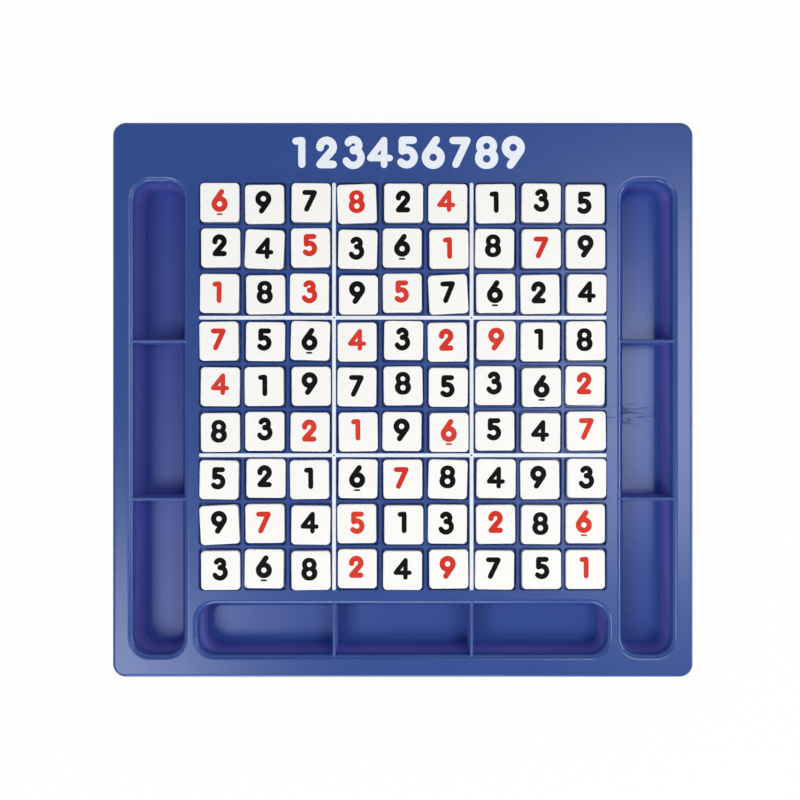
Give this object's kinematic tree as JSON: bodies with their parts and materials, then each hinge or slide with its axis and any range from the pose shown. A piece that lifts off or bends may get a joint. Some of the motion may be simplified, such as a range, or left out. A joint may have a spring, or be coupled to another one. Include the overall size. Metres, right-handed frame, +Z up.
{
  "type": "sudoku board",
  "caption": "Square moulded game tray with a grid of cells that hold loose number tiles, white box lines, and divided storage troughs along three edges.",
  "frame": {"origin": "middle of the tray's underside, on the plane of the table", "axes": "+Z up, +X to the right of the grid, +Y towards the header strip"},
  "size_m": [0.292, 0.279, 0.03],
  "materials": {
    "tray_plastic": "glossy moulded blue",
    "white_print": "white print",
    "tile_plastic": "satin moulded white",
    "red_ink": "stamped red ink",
    "black_ink": "stamped black ink"
  },
  "bodies": {
    "tray": {"tray": "tray_plastic", "box_lines": "white_print", "header_digits": "white_print"},
    "black_1_tile_r8c5": {"black_1_tile_r8c5": "tile_plastic"},
    "black_1_tiles_r1c7_r4c8": {"black_1_tiles_r1c7_r4c8": "tile_plastic"},
    "black_1_tiles_r5c2_r7c3": {"black_1_tiles_r5c2_r7c3": "tile_plastic"},
    "black_2_tiles_r1c5_r2c1": {"black_2_tiles_r1c5_r2c1": "tile_plastic"},
    "black_2_tiles_r3c8_r7c2": {"black_2_tiles_r3c8_r7c2": "tile_plastic"},
    "black_3_tiles_r1c8_r2c4": {"black_3_tiles_r1c8_r2c4": "tile_plastic"},
    "black_3_tiles_r4c5_r5c7": {"black_3_tiles_r4c5_r5c7": "tile_plastic"},
    "black_3_tiles_r6c2_r7c9": {"black_3_tiles_r6c2_r7c9": "tile_plastic"},
    "black_3_tiles_r8c6_r9c1": {"black_3_tiles_r8c6_r9c1": "tile_plastic"},
    "black_4_tiles_r2c2_r3c9": {"black_4_tiles_r2c2_r3c9": "tile_plastic"},
    "black_4_tiles_r6c8_r7c7": {"black_4_tiles_r6c8_r7c7": "tile_plastic"},
    "black_4_tiles_r8c3_r9c5": {"black_4_tiles_r8c3_r9c5": "tile_plastic"},
    "black_5_tiles_r1c9_r4c2": {"black_5_tiles_r1c9_r4c2": "tile_plastic"},
    "black_5_tiles_r5c6_r6c7": {"black_5_tiles_r5c6_r6c7": "tile_plastic"},
    "black_5_tiles_r7c1_r9c8": {"black_5_tiles_r7c1_r9c8": "tile_plastic"},
    "black_6_tiles_r2c5_r3c7": {"black_6_tiles_r2c5_r3c7": "tile_plastic"},
    "black_6_tiles_r4c3_r5c8": {"black_6_tiles_r4c3_r5c8": "tile_plastic"},
    "black_6_tiles_r7c4_r9c2": {"black_6_tiles_r7c4_r9c2": "tile_plastic"},
    "black_7_tiles_r1c3_r3c6": {"black_7_tiles_r1c3_r3c6": "tile_plastic"},
    "black_7_tiles_r5c4_r9c7": {"black_7_tiles_r5c4_r9c7": "tile_plastic"},
    "black_8_tiles_r2c7_r3c2": {"black_8_tiles_r2c7_r3c2": "tile_plastic"},
    "black_8_tiles_r4c9_r5c5": {"black_8_tiles_r4c9_r5c5": "tile_plastic"},
    "black_8_tiles_r6c1_r7c6": {"black_8_tiles_r6c1_r7c6": "tile_plastic"},
    "black_8_tiles_r8c8_r9c3": {"black_8_tiles_r8c8_r9c3": "tile_plastic"},
    "black_9_tile_r8c1": {"black_9_tile_r8c1": "tile_plastic"},
    "black_9_tiles_r1c2_r2c9": {"black_9_tiles_r1c2_r2c9": "tile_plastic"},
    "black_9_tiles_r3c4_r5c3": {"black_9_tiles_r3c4_r5c3": "tile_plastic"},
    "black_9_tiles_r6c5_r7c8": {"black_9_tiles_r6c5_r7c8": "tile_plastic"},
    "red_1_tile_r2c6": {"red_1_tile_r2c6": "tile_plastic"},
    "red_1_tile_r3c1": {"red_1_tile_r3c1": "tile_plastic"},
    "red_1_tile_r6c4": {"red_1_tile_r6c4": "tile_plastic"},
    "red_1_tile_r9c9": {"red_1_tile_r9c9": "tile_plastic"},
    "red_2_tile_r4c6": {"red_2_tile_r4c6": "tile_plastic"},
    "red_2_tile_r5c9": {"red_2_tile_r5c9": "tile_plastic"},
    "red_2_tile_r6c3": {"red_2_tile_r6c3": "tile_plastic"},
    "red_2_tile_r8c7": {"red_2_tile_r8c7": "tile_plastic"},
    "red_2_tile_r9c4": {"red_2_tile_r9c4": "tile_plastic"},
    "red_3_tile_r3c3": {"red_3_tile_r3c3": "tile_plastic"},
    "red_4_tile_r1c6": {"red_4_tile_r1c6": "tile_plastic"},
    "red_4_tile_r4c4": {"red_4_tile_r4c4": "tile_plastic"},
    "red_4_tile_r5c1": {"red_4_tile_r5c1": "tile_plastic"},
    "red_5_tile_r2c3": {"red_5_tile_r2c3": "tile_plastic"},
    "red_5_tile_r3c5": {"red_5_tile_r3c5": "tile_plastic"},
    "red_5_tile_r8c4": {"red_5_tile_r8c4": "tile_plastic"},
    "red_6_tile_r1c1": {"red_6_tile_r1c1": "tile_plastic"},
    "red_6_tile_r6c6": {"red_6_tile_r6c6": "tile_plastic"},
    "red_6_tile_r8c9": {"red_6_tile_r8c9": "tile_plastic"},
    "red_7_tile_r2c8": {"red_7_tile_r2c8": "tile_plastic"},
    "red_7_tile_r4c1": {"red_7_tile_r4c1": "tile_plastic"},
    "red_7_tile_r6c9": {"red_7_tile_r6c9": "tile_plastic"},
    "red_7_tile_r7c5": {"red_7_tile_r7c5": "tile_plastic"},
    "red_7_tile_r8c2": {"red_7_tile_r8c2": "tile_plastic"},
    "red_8_tile_r1c4": {"red_8_tile_r1c4": "tile_plastic"},
    "red_9_tile_r4c7": {"red_9_tile_r4c7": "tile_plastic"},
    "red_9_tile_r9c6": {"red_9_tile_r9c6": "tile_plastic"}
  },
  "joints": [
    {"name": "lift_black_1_tile_r8c5", "type": "slide", "parent": "tray", "child": "black_1_tile_r8c5", "axis": [0, 0, 1], "range_m": [0, 0.03]},
    {"name": "lift_black_1_tiles_r1c7_r4c8", "type": "slide", "parent": "tray", "child": "black_1_tiles_r1c7_r4c8", "axis": [0, 0, 1], "range_m": [0, 0.03]},
    {"name": "lift_black_1_tiles_r5c2_r7c3", "type": "slide", "parent": "tray", "child": "black_1_tiles_r5c2_r7c3", "axis": [0, 0, 1], "range_m": [0, 0.03]},
    {"name": "lift_black_2_tiles_r1c5_r2c1", "type": "slide", "parent": "tray", "child": "black_2_tiles_r1c5_r2c1", "axis": [0, 0, 1], "range_m": [0, 0.03]},
    {"name": "lift_black_2_tiles_r3c8_r7c2", "type": "slide", "parent": "tray", "child": "black_2_tiles_r3c8_r7c2", "axis": [0, 0, 1], "range_m": [0, 0.03]},
    {"name": "lift_black_3_tiles_r1c8_r2c4", "type": "slide", "parent": "tray", "child": "black_3_tiles_r1c8_r2c4", "axis": [0, 0, 1], "range_m": [0, 0.03]},
    {"name": "lift_black_3_tiles_r4c5_r5c7", "type": "slide", "parent": "tray", "child": "black_3_tiles_r4c5_r5c7", "axis": [0, 0, 1], "range_m": [0, 0.03]},
    {"name": "lift_black_3_tiles_r6c2_r7c9", "type": "slide", "parent": "tray", "child": "black_3_tiles_r6c2_r7c9", "axis": [0, 0, 1], "range_m": [0, 0.03]},
    {"name": "lift_black_3_tiles_r8c6_r9c1", "type": "slide", "parent": "tray", "child": "black_3_tiles_r8c6_r9c1", "axis": [0, 0, 1], "range_m": [0, 0.03]},
    {"name": "lift_black_4_tiles_r2c2_r3c9", "type": "slide", "parent": "tray", "child": "black_4_tiles_r2c2_r3c9", "axis": [0, 0, 1], "range_m": [0, 0.03]},
    {"name": "lift_black_4_tiles_r6c8_r7c7", "type": "slide", "parent": "tray", "child": "black_4_tiles_r6c8_r7c7", "axis": [0, 0, 1], "range_m": [0, 0.03]},
    {"name": "lift_black_4_tiles_r8c3_r9c5", "type": "slide", "parent": "tray", "child": "black_4_tiles_r8c3_r9c5", "axis": [0, 0, 1], "range_m": [0, 0.03]},
    {"name": "lift_black_5_tiles_r1c9_r4c2", "type": "slide", "parent": "tray", "child": "black_5_tiles_r1c9_r4c2", "axis": [0, 0, 1], "range_m": [0, 0.03]},
    {"name": "lift_black_5_tiles_r5c6_r6c7", "type": "slide", "parent": "tray", "child": "black_5_tiles_r5c6_r6c7", "axis": [0, 0, 1], "range_m": [0, 0.03]},
    {"name": "lift_black_5_tiles_r7c1_r9c8", "type": "slide", "parent": "tray", "child": "black_5_tiles_r7c1_r9c8", "axis": [0, 0, 1], "range_m": [0, 0.03]},
    {"name": "lift_black_6_tiles_r2c5_r3c7", "type": "slide", "parent": "tray", "child": "black_6_tiles_r2c5_r3c7", "axis": [0, 0, 1], "range_m": [0, 0.03]},
    {"name": "lift_black_6_tiles_r4c3_r5c8", "type": "slide", "parent": "tray", "child": "black_6_tiles_r4c3_r5c8", "axis": [0, 0, 1], "range_m": [0, 0.03]},
    {"name": "lift_black_6_tiles_r7c4_r9c2", "type": "slide", "parent": "tray", "child": "black_6_tiles_r7c4_r9c2", "axis": [0, 0, 1], "range_m": [0, 0.03]},
    {"name": "lift_black_7_tiles_r1c3_r3c6", "type": "slide", "parent": "tray", "child": "black_7_tiles_r1c3_r3c6", "axis": [0, 0, 1], "range_m": [0, 0.03]},
    {"name": "lift_black_7_tiles_r5c4_r9c7", "type": "slide", "parent": "tray", "child": "black_7_tiles_r5c4_r9c7", "axis": [0, 0, 1], "range_m": [0, 0.03]},
    {"name": "lift_black_8_tiles_r2c7_r3c2", "type": "slide", "parent": "tray", "child": "black_8_tiles_r2c7_r3c2", "axis": [0, 0, 1], "range_m": [0, 0.03]},
    {"name": "lift_black_8_tiles_r4c9_r5c5", "type": "slide", "parent": "tray", "child": "black_8_tiles_r4c9_r5c5", "axis": [0, 0, 1], "range_m": [0, 0.03]},
    {"name": "lift_black_8_tiles_r6c1_r7c6", "type": "slide", "parent": "tray", "child": "black_8_tiles_r6c1_r7c6", "axis": [0, 0, 1], "range_m": [0, 0.03]},
    {"name": "lift_black_8_tiles_r8c8_r9c3", "type": "slide", "parent": "tray", "child": "black_8_tiles_r8c8_r9c3", "axis": [0, 0, 1], "range_m": [0, 0.03]},
    {"name": "lift_black_9_tile_r8c1", "type": "slide", "parent": "tray", "child": "black_9_tile_r8c1", "axis": [0, 0, 1], "range_m": [0, 0.03]},
    {"name": "lift_black_9_tiles_r1c2_r2c9", "type": "slide", "parent": "tray", "child": "black_9_tiles_r1c2_r2c9", "axis": [0, 0, 1], "range_m": [0, 0.03]},
    {"name": "lift_black_9_tiles_r3c4_r5c3", "type": "slide", "parent": "tray", "child": "black_9_tiles_r3c4_r5c3", "axis": [0, 0, 1], "range_m": [0, 0.03]},
    {"name": "lift_black_9_tiles_r6c5_r7c8", "type": "slide", "parent": "tray", "child": "black_9_tiles_r6c5_r7c8", "axis": [0, 0, 1], "range_m": [0, 0.03]},
    {"name": "lift_red_1_tile_r2c6", "type": "slide", "parent": "tray", "child": "red_1_tile_r2c6", "axis": [0, 0, 1], "range_m": [0, 0.03]},
    {"name": "lift_red_1_tile_r3c1", "type": "slide", "parent": "tray", "child": "red_1_tile_r3c1", "axis": [0, 0, 1], "range_m": [0, 0.03]},
    {"name": "lift_red_1_tile_r6c4", "type": "slide", "parent": "tray", "child": "red_1_tile_r6c4", "axis": [0, 0, 1], "range_m": [0, 0.03]},
    {"name": "lift_red_1_tile_r9c9", "type": "slide", "parent": "tray", "child": "red_1_tile_r9c9", "axis": [0, 0, 1], "range_m": [0, 0.03]},
    {"name": "lift_red_2_tile_r4c6", "type": "slide", "parent": "tray", "child": "red_2_tile_r4c6", "axis": [0, 0, 1], "range_m": [0, 0.03]},
    {"name": "lift_red_2_tile_r5c9", "type": "slide", "parent": "tray", "child": "red_2_tile_r5c9", "axis": [0, 0, 1], "range_m": [0, 0.03]},
    {"name": "lift_red_2_tile_r6c3", "type": "slide", "parent": "tray", "child": "red_2_tile_r6c3", "axis": [0, 0, 1], "range_m": [0, 0.03]},
    {"name": "lift_red_2_tile_r8c7", "type": "slide", "parent": "tray", "child": "red_2_tile_r8c7", "axis": [0, 0, 1], "range_m": [0, 0.03]},
    {"name": "lift_red_2_tile_r9c4", "type": "slide", "parent": "tray", "child": "red_2_tile_r9c4", "axis": [0, 0, 1], "range_m": [0, 0.03]},
    {"name": "lift_red_3_tile_r3c3", "type": "slide", "parent": "tray", "child": "red_3_tile_r3c3", "axis": [0, 0, 1], "range_m": [0, 0.03]},
    {"name": "lift_red_4_tile_r1c6", "type": "slide", "parent": "tray", "child": "red_4_tile_r1c6", "axis": [0, 0, 1], "range_m": [0, 0.03]},
    {"name": "lift_red_4_tile_r4c4", "type": "slide", "parent": "tray", "child": "red_4_tile_r4c4", "axis": [0, 0, 1], "range_m": [0, 0.03]},
    {"name": "lift_red_4_tile_r5c1", "type": "slide", "parent": "tray", "child": "red_4_tile_r5c1", "axis": [0, 0, 1], "range_m": [0, 0.03]},
    {"name": "lift_red_5_tile_r2c3", "type": "slide", "parent": "tray", "child": "red_5_tile_r2c3", "axis": [0, 0, 1], "range_m": [0, 0.03]},
    {"name": "lift_red_5_tile_r3c5", "type": "slide", "parent": "tray", "child": "red_5_tile_r3c5", "axis": [0, 0, 1], "range_m": [0, 0.03]},
    {"name": "lift_red_5_tile_r8c4", "type": "slide", "parent": "tray", "child": "red_5_tile_r8c4", "axis": [0, 0, 1], "range_m": [0, 0.03]},
    {"name": "lift_red_6_tile_r1c1", "type": "slide", "parent": "tray", "child": "red_6_tile_r1c1", "axis": [0, 0, 1], "range_m": [0, 0.03]},
    {"name": "lift_red_6_tile_r6c6", "type": "slide", "parent": "tray", "child": "red_6_tile_r6c6", "axis": [0, 0, 1], "range_m": [0, 0.03]},
    {"name": "lift_red_6_tile_r8c9", "type": "slide", "parent": "tray", "child": "red_6_tile_r8c9", "axis": [0, 0, 1], "range_m": [0, 0.03]},
    {"name": "lift_red_7_tile_r2c8", "type": "slide", "parent": "tray", "child": "red_7_tile_r2c8", "axis": [0, 0, 1], "range_m": [0, 0.03]},
    {"name": "lift_red_7_tile_r4c1", "type": "slide", "parent": "tray", "child": "red_7_tile_r4c1", "axis": [0, 0, 1], "range_m": [0, 0.03]},
    {"name": "lift_red_7_tile_r6c9", "type": "slide", "parent": "tray", "child": "red_7_tile_r6c9", "axis": [0, 0, 1], "range_m": [0, 0.03]},
    {"name": "lift_red_7_tile_r7c5", "type": "slide", "parent": "tray", "child": "red_7_tile_r7c5", "axis": [0, 0, 1], "range_m": [0, 0.03]},
    {"name": "lift_red_7_tile_r8c2", "type": "slide", "parent": "tray", "child": "red_7_tile_r8c2", "axis": [0, 0, 1], "range_m": [0, 0.03]},
    {"name": "lift_red_8_tile_r1c4", "type": "slide", "parent": "tray", "child": "red_8_tile_r1c4", "axis": [0, 0, 1], "range_m": [0, 0.03]},
    {"name": "lift_red_9_tile_r4c7", "type": "slide", "parent": "tray", "child": "red_9_tile_r4c7", "axis": [0, 0, 1], "range_m": [0, 0.03]},
    {"name": "lift_red_9_tile_r9c6", "type": "slide", "parent": "tray", "child": "red_9_tile_r9c6", "axis": [0, 0, 1], "range_m": [0, 0.03]}
  ]
}
